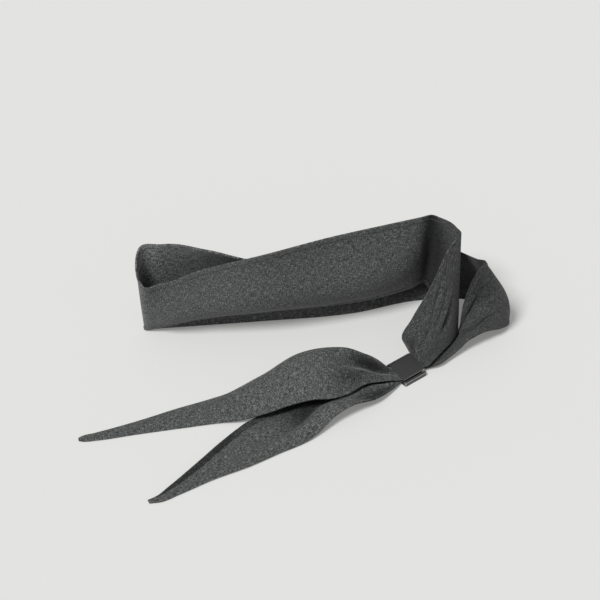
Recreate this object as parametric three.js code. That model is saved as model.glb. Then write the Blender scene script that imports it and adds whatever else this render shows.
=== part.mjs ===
// A woven neck strip laid on a table: a loop that stands on its edge, gathered through a small
// rectangular slide, with two pointed tails running out on the other side of the slide.
// Millimetres, +Z up. The origin is the middle of the slide's flat underside.
// +X runs along the long band of the loop, +Y points away from the tails, towards the neck.
import * as THREE from 'three';

// Sizes of the cloth
const CLOTH_THICK = 1.4;
const HEM_WIDTH = 4.5;
const HEM_STEP = 1.2;
const HEM_RISE = 0.3;
const HEM_FADE_WIDTH = 34;
const PLEATS = 2.5;
const PLEAT_START = 0.6;
const TABLE_CLEARANCE = 0.05;

// Sizes of the slide, and the way that it points (degrees from +X towards +Y)
const SLIDE_TURN = 39;
const SLIDE_LENGTH = 22;
const SLIDE_WALL = 1;
const SLIDE_NEAR = -10.75;
const SLIDE_NEAR_TOP = 6;
const SLIDE_TOP_SLOPE = 13.3;
const SLIDE_BEND_CENTRE = 5.75;
const SLIDE_BEND_RADIUS = 5;
const SLIDE_BEND_STEPS = 14;
const LIP_WIDTH = 2.65;
const LIP_HEIGHT = 4;
const LIP_CORNER = 0.5;
const JOINT_GAP = 0.3;

// How finely the cloth is divided
const LOOP_STEP = 10;
const TAIL_STEP = 9;
const MOST_STEPS = 5;
const LOOP_COLUMNS = 12;
const TAIL_COLUMNS = 11;

const UP = new THREE.Vector3(0, 0, 1);
const TURN = THREE.MathUtils.degToRad(SLIDE_TURN);
const ALONG = new THREE.Vector3(Math.cos(TURN), Math.sin(TURN), 0);
const ACROSS = new THREE.Vector3(-Math.sin(TURN), Math.cos(TURN), 0);

// A point given along the slide, across it and above the table
function inSlide(along, across, up) {
  const point = ALONG.clone().multiplyScalar(along).addScaledVector(ACROSS, across);
  return [point.x, point.y, up];
}

// A table: an object for every row, with its values under the names of the columns
const named = (columns, rows) =>
  rows.map((row) => Object.fromEntries(columns.map((column, k) => [column, row[k]])));

// The neck loop, a row for each section of the strip from the slide, round the neck and back.
// head and foot: the two long edges of the cloth. belly: how far the middle of the section stands
// out to the outer side. sway: an S across the section. gather: height of the pleats.
const NECK_LOOP = named(
  ['name', 'head', 'foot', 'belly', 'sway', 'gather'],
  [
    ['slide, upper layer', inSlide(0.2, 7.6, 6.9), inSlide(0.2, -8.5, 4.5), 0, 0, 0.3],
    ['upper layer, deep', inSlide(6, 7.6, 6.9), inSlide(6, -8.5, 4.5), 0, 0, 0.3],
    ['upper mouth', inSlide(12.4, 7.4, 6.9), inSlide(12.4, -8.2, 4.5), 0, 0, 0.3],
    ['upper curl', [1.6, 17.6, 13], [18.6, 1.2, 7], 0, 0, 0.6],
    ['rising, low', [-2.4, 17.5, 21.5], [23.5, 6.5, 8.5], -4.5, 0, 0.8],
    ['rising, middle', [4.8, 20, 40.7], [30.5, 15, 10.2], -6, 0, 0.6],
    ['rising, high', [19.5, 27.5, 67.4], [37.5, 24, 11.5], -4.5, 0, 0.4],
    ['fold, front', [35.5, 46, 94.4], [42, 33, 12], -2, 0, 0.2],
    ['fold, crest', [43, 54.5, 98.5], [43.7, 37, 13], 0, 0, 0],
    ['fold, back', [40, 62.5, 99], [39.5, 45, 16], 0, 0, 0],
    ['valley, near', [27.5, 75.5, 99], [24.5, 74, 24], -1, 0, 0],
    ['valley, bottom', [21.3, 79, 99], [17.8, 82.5, 26], 0, 0, 0],
    ['valley, far', [12.5, 76, 99], [7.5, 79, 24], 6, 0, 0],
    ['front band, right', [-18, 64, 100], [-20, 70, 21], 9, 3, 0],
    ['front band, middle', [-60, 51, 98.3], [-60, 61, 20], 10, 4, 0],
    ['front band, left', [-113, 33.2, 94.5], [-113, 53, 20], 10, 4, 0],
    ['front band, far left', [-162.5, 36.4, 76.6], [-162.5, 49, 16], 9, 3, 0],
    ['front band, end', [-196, 34.5, 64], [-199.5, 49.5, 6], 6, 1, 0],
    ['left turn, front', [-209.5, 31, 65], [-210, 51.5, 1.6], 2, 0, 0],
    ['left turn, crest', [-214, 37, 76], [-212, 53.5, 0.5], 0, 0, 0],
    ['left turn, back', [-212.5, 48, 87.5], [-207, 53.5, 0.5], 1, 0, 0],
    ['back band, end', [-194, 53.5, 88.5], [-192.5, 55, 0.5], 4, 0, 0],
    ['back band, far left', [-158, 48, 87], [-155.5, 59, 0.5], 9, 0, 0],
    ['back band, left', [-119.5, 39, 83.5], [-115.5, 63.5, 0.5], 10, 0, 0],
    ['back band, middle', [-37.5, 68, 78], [-38.5, 74, 0.5], 12, 0, 0],
    ['back band, right', [12.6, 86, 74], [17, 90.5, 0.5], 10, 0, 0],
    ['back band, far right', [45, 66.5, 70], [58, 90, 0.5], 8, 1, 0],
    ['right turn, back', [57, 54, 73], [79, 76, 0.5], 5, 2, 0],
    ['right turn, crest', [63.2, 47.5, 75.6], [87.4, 60.5, 0.5], 6.5, 1.2, 0],
    ['right turn, front', [59, 44.8, 71], [80.5, 47.2, 7.4], 7.5, 1.2, 0.3],
    ['falling, high', [53, 42, 60], [67, 35.9, 13.9], 6, 0, 0.6],
    ['falling, middle', [47.6, 38, 40], [56.5, 29.2, 13.4], 4, 0, 0.6],
    ['falling, low', [45.8, 44, 9.6], [45.7, 20.4, 8.4], 1, 0, 0.5],
    ['lower bend', [35.5, 30, 6.4], [37.4, 13.9, 4.9], 0.5, 0, 0.5],
    ['lower neck', [20, 18, 4.4], [27, 5, 3.8], 0, 0, 0.5],
    ['lower mouth', inSlide(12.2, 7.8, 3.1), inSlide(12.2, -8.5, 2), 0, 0, 0.3],
    ['lower layer, deep', inSlide(6, 7.8, 3.1), inSlide(6, -8.5, 2), 0, 0, 0.3],
    ['slide, lower layer', inSlide(0.2, 7.8, 3.1), inSlide(0.2, -8.5, 2), 0, 0, 0.3],
  ],
);

// Folds that the gathers make in the loop beside the slide: ridges and furrows along the strip.
// section: the row where the fold is highest. place: across the strip, 0 at the foot and 1 at the
// head. slant: how far the place shifts over 100 mm. reach: half its length. breadth: half its width,
// as a share of the strip's. height: out to the outer side, or in where it is below zero.
const LOOP_FOLDS = named(
  ['name', 'section', 'place', 'slant', 'reach', 'breadth', 'height'],
  [
    ['lobe at the mouth', 'rising, low', 0.86, 0, 9, 0.12, -2],
    ['furrow from the mouth', 'rising, low', 0.6, 1, 9, 0.09, 3.2],
    ['ridge beside the furrow', 'rising, low', 0.4, 0.6, 12, 0.12, -1.6],
    ['left pucker', 'rising, high', 0.6, 0.6, 12, 0.06, 2],
    ['right pucker', 'rising, high', 0.42, 0.6, 10, 0.055, 1.5],
    ['crease by the foot', 'rising, middle', 0.2, 0.2, 12, 0.07, 1.2],
    ['shaded panel', 'falling, middle', 0.68, 0.3, 14, 0.1, -3],
    ['ridge of the lower strand', 'falling, middle', 0.45, 0, 20, 0.14, 1.6],
    ['crease of the lower strand', 'falling, low', 0.24, -0.3, 16, 0.08, -1.2],
  ],
);

// The two tails, a row for each section from the slide to the point. at: the middle line on the
// table. The other columns are lines along the tail: [across from the middle line, above the table].
const UPPER_LINES = ['near', 'crest', 'hollow', 'rim', 'far'];
const UPPER_TAIL = named(
  ['at', ...UPPER_LINES],
  [
    [[-0.2, -0.1], [-8.5, 4.4], [-5, 5.1], [-1, 5.7], [4.5, 6.8], [7.6, 6.9]],
    [[-8.6, -6.9], [-8.3, 4.4], [-6, 4.9], [-1, 5.4], [4.5, 7.2], [7.6, 6.9]],
    [[-14.5, -10.4], [-7.2, 7], [-4.2, 9.6], [3, 5.6], [3.6, 13.5], [9.5, 6.2]],
    [[-23.5, -12.6], [-9, 9.7], [-4.4, 13.4], [6.5, 6], [5.4, 21.4], [16, 6.5]],
    [[-34, -13.4], [-15.6, 13.6], [-4.5, 17.6], [7.5, 10.5], [7.4, 26], [20, 7]],
    [[-46, -13.8], [-27.5, 15.9], [-11, 22.5], [3, 19.5], [11.5, 28.2], [24, 8]],
    [[-60, -14.4], [-34.3, 17.4], [-15, 25], [1.5, 28.5], [15, 26.5], [27, 6]],
    [[-81, -17.4], [-33.2, 16.8], [-15, 23.6], [1.5, 26.5], [15.5, 23], [26, 4]],
    [[-105, -26], [-29.2, 13], [-13, 16.6], [1, 17.5], [13, 13], [21.5, 2]],
    [[-121, -33.5], [-25.6, 8.6], [-11, 11.4], [0.5, 12.5], [10.5, 9.2], [18, 1.3]],
    [[-137, -41], [-20.2, 4.6], [-9.5, 6.6], [-0.5, 7.6], [8.5, 5.6], [15, 1]],
    [[-150, -45.7], [-15, 2], [-7.4, 4.6], [-0.3, 5.4], [7.4, 4.2], [13.8, 1]],
    [[-177.5, -54.6], [-10.6, 1], [-5.6, 2.8], [0, 3.4], [6, 2.6], [11.6, 1]],
    [[-214.5, -66.4], [-6.3, 1], [-3.2, 1.7], [0, 2], [3.4, 1.7], [6.8, 1]],
    [[-243, -74.8], [-4.1, 1], [-2, 1.2], [0, 1.3], [2, 1.2], [3.9, 1]],
    [[-252.5, -77.2], [-2.7, 0.9], [-1.4, 1], [0, 1], [1.5, 1], [3, 0.9]],
    [[-255.5, -77.9], [-1.3, 0.9], [-0.6, 0.9], [0.1, 0.9], [0.8, 0.9], [1.6, 0.9]],
  ],
);
const LOWER_LINES = ['near', 'pocket', 'fold', 'channel', 'ridge', 'crease', 'rim'];
const LOWER_TAIL = named(
  ['at', ...LOWER_LINES],
  [
    [[-0.2, -0.1], [-8.4, 2.1], [-6.5, 2.2], [-4, 2.5], [-0.5, 2.3], [2.5, 2.5], [5, 2.8], [7.8, 3]],
    [[-8.6, -6.9], [-8.4, 2.1], [-7, 2.2], [-5, 2.5], [-1, 2.2], [2.5, 2.3], [5, 2.5], [7.8, 2.9]],
    [[-16, -13.3], [-10.6, 3.8], [-7.8, 2.3], [-4.6, 4.4], [-1, 1.8], [2, 1.8], [5, 2], [8.6, 2.4]],
    [[-32.5, -23.5], [-17, 8.4], [-11.5, 3.6], [-3.4, 9], [1.6, 2.6], [4.6, 2.2], [7.6, 2], [10.5, 2]],
    [[-51, -32], [-21, 13.1], [-15.6, 13], [-9.8, 12.2], [0.5, 3.2], [5, 2.4], [9.5, 2.1], [13.5, 2.8]],
    [[-69, -45.5], [-20.3, 11.2], [-13.8, 12.6], [-7, 12], [1.5, 3.6], [8, 3.8], [14.5, 2], [19, 2.6]],
    [[-88, -63], [-19.5, 1.7], [-15.6, 4.6], [-9, 7.4], [-2, 2.4], [7.5, 4.4], [18, 1.5], [22.6, 3]],
    [[-110, -77.5], [-18.6, 1], [-16.6, 2.8], [-12.3, 5], [-3.5, 2], [6.5, 3.8], [18.4, 1.3], [23.6, 2.6]],
    [[-132, -95.2], [-15.4, 1], [-13.8, 2.4], [-10.6, 4], [-2.5, 1.7], [5, 2.8], [13.8, 1], [16.5, 5.6]],
    [[-155.5, -114], [-9.4, 1], [-8.4, 1.8], [-6.3, 2.9], [-1, 1.4], [2.8, 2], [6.8, 1], [9.7, 5.4]],
    [[-178.5, -132.6], [-5.8, 1], [-5, 1.2], [-3.4, 1.9], [-0.8, 1.1], [0.9, 1.3], [2.8, 0.9], [4.4, 3.6]],
    [[-190, -141.2], [-4, 1], [-3.3, 1.1], [-2.1, 1.2], [-0.6, 1], [0.6, 1], [1.7, 0.9], [2.6, 1.8]],
    [[-197.5, -144.6], [-1.6, 0.9], [-1.1, 0.9], [-0.6, 0.9], [0, 0.9], [0.6, 0.9], [1.2, 0.9], [1.8, 1]],
  ],
);

// Distance along a row of points, from the first one
function distances(points) {
  const knots = [0];
  for (let i = 1; i < points.length; i += 1) {
    knots.push(knots[i - 1] + Math.hypot(...points[i].map((value, axis) => value - points[i - 1][axis])));
  }
  return knots;
}

// A smooth curve through values at uneven knots: cubic pieces, each with the slope of its neighbours
function smooth(knots, values, at) {
  const last = knots.length - 1;
  const rise = (i) => (values[i + 1] - values[i]) / (knots[i + 1] - knots[i]);
  const slopeAt = (i) => {
    if (i === 0) return rise(0);
    if (i === last) return rise(last - 1);
    const before = knots[i] - knots[i - 1];
    const after = knots[i + 1] - knots[i];
    return (rise(i - 1) * after + rise(i) * before) / (before + after);
  };
  let i = 0;
  while (i < last - 1 && at > knots[i + 1]) i += 1;
  const span = knots[i + 1] - knots[i];
  const f = (at - knots[i]) / span;
  const g = 1 - f;
  return (
    (1 + 2 * f) * g * g * values[i] +
    f * g * g * span * slopeAt(i) +
    f * f * (3 - 2 * f) * values[i + 1] -
    f * f * g * span * slopeAt(i + 1)
  );
}

const smoothPoint = (knots, points, at) =>
  new THREE.Vector3(...[0, 1, 2].map((axis) => smooth(knots, points.map((point) => point[axis] ?? 0), at)));

// Places along the strip: every section, and as many steps between two as their distance asks for
function stepsAlong(knots, step) {
  const places = [0];
  for (let i = 1; i < knots.length; i += 1) {
    const span = knots[i] - knots[i - 1];
    const count = Math.min(MOST_STEPS, Math.max(2, Math.round(span / step)));
    for (let k = 1; k <= count; k += 1) places.push(knots[i - 1] + (span * k) / count);
  }
  return places;
}

// Places across the strip, 0 to 1: even columns, and two more that bound the step of each hem
function placesAcross(width, columns) {
  const hem = Math.min(HEM_WIDTH / width, 0.2);
  const step = Math.min((HEM_WIDTH + HEM_STEP) / width, 0.25);
  const inner = Array.from({ length: columns + 1 }, (_, k) => step + ((1 - 2 * step) * k) / columns);
  return [0, hem, ...inner, 1 - hem, 1];
}

// Middle surface of the neck loop as a grid of points: a line across the cloth for every place
function loopGrid() {
  const middles = NECK_LOOP.map(({ head, foot }) => head.map((value, axis) => (value + foot[axis]) / 2));
  const knots = distances(middles);
  const heads = NECK_LOOP.map((row) => row.head);
  const feet = NECK_LOOP.map((row) => row.foot);
  const column = (name, at) => smooth(knots, NECK_LOOP.map((row) => row[name]), at);
  const foldKnot = ({ section }) => knots[NECK_LOOP.findIndex((row) => row.name === section)];
  const bell = (distance, half) => Math.exp(-((distance / half) ** 2));
  const folds = (at, t) =>
    LOOP_FOLDS.reduce((sum, fold) => {
      const past = at - foldKnot(fold);
      const place = fold.place + (fold.slant * past) / 100;
      return sum + fold.height * bell(past, fold.reach) * bell(t - place, fold.breadth);
    }, 0);
  const nearby = 0.5;
  return stepsAlong(knots, LOOP_STEP).map((at) => {
    const head = smoothPoint(knots, heads, at);
    const foot = smoothPoint(knots, feet, at);
    const chord = head.clone().sub(foot);
    const ahead = smoothPoint(knots, middles, Math.min(at + nearby, knots[knots.length - 1]));
    const behind = smoothPoint(knots, middles, Math.max(at - nearby, 0));
    const outer = chord.clone().cross(ahead.sub(behind)).normalize();
    return placesAcross(chord.length(), LOOP_COLUMNS).map((t) => {
      const stand =
        column('belly', at) * Math.sin(Math.PI * t) +
        column('sway', at) * Math.sin(2 * Math.PI * t) +
        column('gather', at) * Math.sin(2 * Math.PI * PLEATS * t + PLEAT_START) +
        folds(at, t);
      return foot.clone().addScaledVector(chord, t).addScaledVector(outer, stand);
    });
  });
}

// Middle surface of a tail: each named line is smooth along the tail, and a smooth curve joins them
function tailGrid(rows, lines) {
  const middles = rows.map((row) => row.at);
  const knots = distances(middles);
  const lineKnots = lines.map((_, k) => k / (lines.length - 1));
  const nearby = 0.5;
  const end = knots[knots.length - 1];
  return stepsAlong(knots, TAIL_STEP).map((at) => {
    const centre = smoothPoint(knots, middles, at);
    const heading = smoothPoint(knots, middles, Math.min(at + nearby, end));
    heading.sub(smoothPoint(knots, middles, Math.max(at - nearby, 0))).normalize();
    const side = new THREE.Vector3(heading.y, -heading.x, 0);
    const marks = lines.map((name) => smoothPoint(knots, rows.map((row) => row[name]), at));
    const width = marks[marks.length - 1].x - marks[0].x;
    return placesAcross(width, TAIL_COLUMNS).map((t) => {
      const mark = smoothPoint(lineKnots, marks.map((point) => point.toArray()), t);
      return centre.clone().addScaledVector(side, mark.x).addScaledVector(UP, mark.y);
    });
  });
}

// Directions square to the cloth at every point of its grid
function gridNormals(grid) {
  const lastRow = grid.length - 1;
  const lastColumn = grid[0].length - 1;
  return grid.map((row, i) =>
    row.map((_, j) => {
      const along = grid[Math.min(i + 1, lastRow)][j].clone().sub(grid[Math.max(i - 1, 0)][j]);
      const across = grid[i][Math.min(j + 1, lastColumn)].clone().sub(grid[i][Math.max(j - 1, 0)]);
      return along.cross(across).normalize();
    }),
  );
}

// How far the hem stands up from the cloth: only at the two edges, and only where the cloth is spread
function hemRise(row, j) {
  const last = row.length - 1;
  const inHem = j < 2 || j > last - 2;
  const width = row[0].distanceTo(row[last]);
  return inHem ? HEM_RISE * THREE.MathUtils.smoothstep(width, HEM_FADE_WIDTH / 2, HEM_FADE_WIDTH) : 0;
}

// A closed wall of cloth: two skins, one on each side of the middle surface, and a strip round the edge
function clothWall(grid, hemSide) {
  const normals = gridNormals(grid);
  const half = CLOTH_THICK / 2;
  const rows = grid.length;
  const columns = grid[0].length;
  const positions = [];
  for (const side of [1, -1]) {
    grid.forEach((row, i) =>
      row.forEach((middle, j) => {
        const offset = half + (side === hemSide ? hemRise(row, j) : 0);
        const point = middle.clone().addScaledVector(normals[i][j], side * offset);
        positions.push(point.x, point.y, Math.max(point.z, TABLE_CLEARANCE));
      }),
    );
  }
  const front = (i, j) => i * columns + j;
  const back = (i, j) => (rows + i) * columns + j;
  const faces = [];
  const quad = (a, b, c, d) => faces.push(a, b, c, a, c, d);
  for (let i = 0; i < rows - 1; i += 1) {
    for (let j = 0; j < columns - 1; j += 1) {
      quad(front(i, j), front(i + 1, j), front(i + 1, j + 1), front(i, j + 1));
      quad(back(i, j), back(i, j + 1), back(i + 1, j + 1), back(i + 1, j));
    }
    quad(front(i, 0), back(i, 0), back(i + 1, 0), front(i + 1, 0));
    quad(front(i, columns - 1), front(i + 1, columns - 1), back(i + 1, columns - 1), back(i, columns - 1));
  }
  for (let j = 0; j < columns - 1; j += 1) {
    quad(front(0, j), front(0, j + 1), back(0, j + 1), back(0, j));
    quad(front(rows - 1, j), back(rows - 1, j), back(rows - 1, j + 1), front(rows - 1, j + 1));
  }
  const geometry = new THREE.BufferGeometry();
  geometry.setAttribute('position', new THREE.Float32BufferAttribute(positions, 3));
  geometry.setIndex(faces);
  geometry.computeVertexNormals();
  return geometry;
}

// A bar of the slide: an outline of [across, above the table], drawn out over the slide's length
function slideBar(outline) {
  const shape = new THREE.Shape(outline.map(([across, up]) => new THREE.Vector2(across, up)));
  const geometry = new THREE.ExtrudeGeometry(shape, { depth: SLIDE_LENGTH, bevelEnabled: false });
  geometry.translate(0, 0, -SLIDE_LENGTH / 2);
  return geometry.applyMatrix4(new THREE.Matrix4().makeBasis(ACROSS, UP, ALONG));
}

// The cover: a sheet that lies flat below, bends up round the far side and slopes down to the near edge
function coverOutline() {
  const slope = THREE.MathUtils.degToRad(SLIDE_TOP_SLOPE);
  const topEnd = Math.PI / 2 + slope;
  const centreUp = SLIDE_BEND_RADIUS;
  const arc = (radius) =>
    Array.from({ length: SLIDE_BEND_STEPS + 1 }, (_, k) => {
      const angle = -Math.PI / 2 + ((topEnd + Math.PI / 2) * k) / SLIDE_BEND_STEPS;
      return [SLIDE_BEND_CENTRE + radius * Math.cos(angle), centreUp + radius * Math.sin(angle)];
    });
  const outer = arc(SLIDE_BEND_RADIUS);
  const inner = arc(SLIDE_BEND_RADIUS - SLIDE_WALL);
  const bottomEdge = SLIDE_NEAR + JOINT_GAP;
  return [
    [bottomEdge, 0],
    ...outer,
    [SLIDE_NEAR, SLIDE_NEAR_TOP],
    [SLIDE_NEAR, SLIDE_NEAR_TOP - SLIDE_WALL],
    ...inner.reverse(),
    [bottomEdge, SLIDE_WALL],
  ];
}

// The lip: a low bar along the near side, with its outer top corner rounded off
function lipOutline() {
  const outerFace = SLIDE_NEAR - LIP_WIDTH;
  const corner = Array.from({ length: 4 }, (_, k) => {
    const angle = Math.PI / 2 + (Math.PI / 6) * k;
    return [
      outerFace + LIP_CORNER + LIP_CORNER * Math.cos(angle),
      LIP_HEIGHT - LIP_CORNER + LIP_CORNER * Math.sin(angle),
    ];
  });
  return [[outerFace, 0], [SLIDE_NEAR, 0], [SLIDE_NEAR, LIP_HEIGHT], ...corner];
}

function piece(name, geometry, colour, roughness, metalness) {
  const material = new THREE.MeshStandardMaterial({ color: colour, roughness, metalness });
  const mesh = new THREE.Mesh(geometry, material);
  mesh.name = name;
  return mesh;
}

const CLOTH_COLOUR = 0x4f5150;
const COVER_COLOUR = 0x2b2c2d;
const LIP_COLOUR = 0xb9bab8;

const tie = new THREE.Group();
tie.name = 'necktie_with_slide';
tie.add(piece('neck_loop', clothWall(loopGrid(), -1), CLOTH_COLOUR, 0.95, 0));
tie.add(piece('tail_upper', clothWall(tailGrid(UPPER_TAIL, UPPER_LINES), -1), CLOTH_COLOUR, 0.95, 0));
tie.add(piece('tail_lower', clothWall(tailGrid(LOWER_TAIL, LOWER_LINES), 1), CLOTH_COLOUR, 0.95, 0));
tie.add(piece('slide_cover', slideBar(coverOutline()), COVER_COLOUR, 0.35, 0.4));
tie.add(piece('slide_lip', slideBar(lipOutline()), LIP_COLOUR, 0.3, 1));

export default tie;
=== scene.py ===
# %% [markdown]
# # A woven tie in a slide
# The object is one long strip of mixed grey cloth. It goes once round a neck, both ends pass
# through a small flat metal slide, and two pointed tails run out of it. Here it lies on a table:
# the part for the neck stands on its edge as a squashed loop, and the tails lie flat.
# The tables are in millimetres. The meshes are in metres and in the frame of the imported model, so a
# piece goes where its solid is, with no fitting.

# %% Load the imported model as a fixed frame
import bpy
import numpy as np
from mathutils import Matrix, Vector


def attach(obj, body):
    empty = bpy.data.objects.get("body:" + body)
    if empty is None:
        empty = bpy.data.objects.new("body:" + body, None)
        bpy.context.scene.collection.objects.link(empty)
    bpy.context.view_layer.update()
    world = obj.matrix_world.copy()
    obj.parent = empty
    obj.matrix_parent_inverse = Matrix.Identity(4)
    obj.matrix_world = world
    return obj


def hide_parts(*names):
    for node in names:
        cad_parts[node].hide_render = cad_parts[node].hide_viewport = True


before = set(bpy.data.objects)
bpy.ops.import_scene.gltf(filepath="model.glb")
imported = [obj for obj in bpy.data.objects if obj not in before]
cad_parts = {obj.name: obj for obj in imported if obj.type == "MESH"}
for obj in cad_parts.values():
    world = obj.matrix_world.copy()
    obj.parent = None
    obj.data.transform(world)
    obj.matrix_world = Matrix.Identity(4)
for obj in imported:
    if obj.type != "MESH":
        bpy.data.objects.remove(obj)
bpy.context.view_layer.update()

MM = 0.001

# %% [markdown]
# ## Camera, table and light
# A long lens from well away keeps the strip's edges nearly parallel, as in a product photograph.
# The camera looks down at 40 degrees. The one visible soft shadow lies to the right of the loop,
# and almost none lies in front of it, so the light comes from high up at the left and from the
# front. Its edge blurs over a third of the height that casts it, which is a wide source far away:
# a sun lamp 17 degrees across. A plain pale world stands for the room. The table also gives off a
# little light of its own. No such light is seen in the photograph: it was set because the
# lamps alone left the floor near the cloth darker than it is there.

# %% Camera
VIEW_DOWN = np.radians(40.0)
LENS_MM = 120.0
SENSOR_MM = 36.0
CAMERA_AWAY = 1.675
CLIP_END = 20.0
LOOK_AT = np.array([-0.0844, 0.0910, 0.0])

scene = bpy.context.scene
to_camera = np.array([0.0, -np.cos(VIEW_DOWN), np.sin(VIEW_DOWN)])
camera = bpy.data.objects.new("camera", bpy.data.cameras.new("camera"))
camera.data.lens = LENS_MM
camera.data.sensor_width = SENSOR_MM
camera.data.clip_end = CLIP_END
camera.location = LOOK_AT + CAMERA_AWAY * to_camera
camera.rotation_euler = (np.pi / 2 - VIEW_DOWN, 0.0, 0.0)
scene.collection.objects.link(camera)
scene.camera = camera
print("camera at", [round(v, 3) for v in camera.location])

# %% Table
TABLE_HALF = 3.0
TABLE_GREY = (0.60, 0.60, 0.590, 1.0)
TABLE_ROUGHNESS = 0.75
TABLE_SHINE = 0.2
GLOW_COLOUR = (1.0, 1.0, 0.985, 1.0)
TABLE_GLOW = 0.18


def plain_material(name, colour, roughness):
    """A material with its base colour and roughness set on the shader itself."""
    material = bpy.data.materials.new(name)
    material.use_nodes = True
    shader = material.node_tree.nodes["Principled BSDF"]
    shader.inputs["Base Color"].default_value = colour
    shader.inputs["Roughness"].default_value = roughness
    return material, shader


corners = [(x * TABLE_HALF, y * TABLE_HALF, 0) for x, y in ((-1, -1), (1, -1), (1, 1), (-1, 1))]
table_mesh = bpy.data.meshes.new("table_top")
table_mesh.from_pydata(corners, [], [(0, 1, 2, 3)])
table = bpy.data.objects.new("table_top", table_mesh)
scene.collection.objects.link(table)
table_material, table_shader = plain_material("pale_table", TABLE_GREY, TABLE_ROUGHNESS)
table_shader.inputs["Specular IOR Level"].default_value = TABLE_SHINE
table_shader.inputs["Emission Color"].default_value = GLOW_COLOUR
table_shader.inputs["Emission Strength"].default_value = TABLE_GLOW
table_mesh.materials.append(table_material)
print("table: %.0f m square, glow %.2f" % (2 * TABLE_HALF, TABLE_GLOW))

# %% Light
SKY_COLOUR = (1.0, 1.0, 0.995, 1.0)
SKY_STRENGTH = 0.26
SUN_STRENGTH = 2.80
SUN_SPREAD = np.radians(17.0)
SUN_WAY = (0.42, 0.58, -1.0)

world = bpy.data.worlds.new("studio")
world.use_nodes = True
world.node_tree.nodes["Background"].inputs["Color"].default_value = SKY_COLOUR
world.node_tree.nodes["Background"].inputs["Strength"].default_value = SKY_STRENGTH
scene.world = world
scene.view_settings.view_transform = "Standard"

sun = bpy.data.objects.new("window_light", bpy.data.lights.new("window_light", "SUN"))
sun.data.energy = SUN_STRENGTH
sun.data.angle = SUN_SPREAD
sun.rotation_euler = Vector(SUN_WAY).to_track_quat("-Z", "Y").to_euler()
scene.collection.objects.link(sun)
print("light: sky %.2f, sun %.2f" % (SKY_STRENGTH, SUN_STRENGTH))

# %% [markdown]
# ## The strip as a surface of two parameters
# Cloth that lies in folds is easiest to give as a few sections. Each section of the neck part is
# a straight line between its two long edges, the head edge above and the foot edge below, with
# how far the cloth stands out between them. A smooth curve through the sections carries every
# number along the strip, so a short table describes 0.8 m of cloth. The same tables, apart from the
# finer folds, are in the solids' source, because the two must lie in the same place.

# %% Smooth curves through a few values
def smooth(knots, values, at):
    """Cubic pieces through (knots, values). At each inner knot the slope is the mean of the two
    neighbouring slopes, each weighted by the other's span, so the shorter span counts for more."""
    knots = np.asarray(knots, float)
    values = np.asarray(values, float)
    flat = values.ndim == 1
    table = values[:, None] if flat else values
    at = np.clip(np.asarray(at, float), knots[0], knots[-1])
    span = np.diff(knots)[:, None]
    rise = np.diff(table, axis=0) / span
    inner = (rise[:-1] * span[1:] + rise[1:] * span[:-1]) / (span[:-1] + span[1:])
    slope = np.vstack([rise[:1], inner, rise[-1:]])
    i = np.clip(np.searchsorted(knots, at, side="right") - 1, 0, len(knots) - 2)
    h = span[i]
    f = ((at - knots[i]) / h[..., 0])[..., None]
    g = 1 - f
    result = ((1 + 2 * f) * g * g * table[i] + f * g * g * h * slope[i]
              + f * f * (3 - 2 * f) * table[i + 1] - f * f * g * h * slope[i + 1])
    return result[..., 0] if flat else result


def distances(points):
    """Running distance along a row of points, from 0 at the first."""
    return np.concatenate([[0.0], np.cumsum(np.linalg.norm(np.diff(points, axis=0), axis=1))])


def unit(vectors):
    """Each vector divided by its length."""
    return vectors / np.maximum(np.linalg.norm(vectors, axis=-1, keepdims=True), 1e-12)


def hump(x, middle, reach):
    """1 at the middle, falling off as exp(-((x - middle)/reach)^2)."""
    return np.exp(-((x - middle) / reach) ** 2)


def step_up(x, low, high):
    """0 below low, 1 above high, and a smooth rise between."""
    f = np.clip((x - low) / (high - low), 0, 1)
    return f * f * (3 - 2 * f)


print("a hump falls to %.2f at its reach" % hump(1.0, 0.0, 1.0))

# %% The slide's own directions
SLIDE_TURN = np.radians(39.0)
ALONG = np.array([np.cos(SLIDE_TURN), np.sin(SLIDE_TURN), 0.0])
ACROSS = np.array([-np.sin(SLIDE_TURN), np.cos(SLIDE_TURN), 0.0])
UP = np.array([0.0, 0.0, 1.0])


def in_slide(along, across, up):
    """A point given along the slide, across it and above the table."""
    return tuple(ALONG * along + ACROSS * across + UP * up)


print("the slide runs along", np.round(ALONG, 3))

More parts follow.
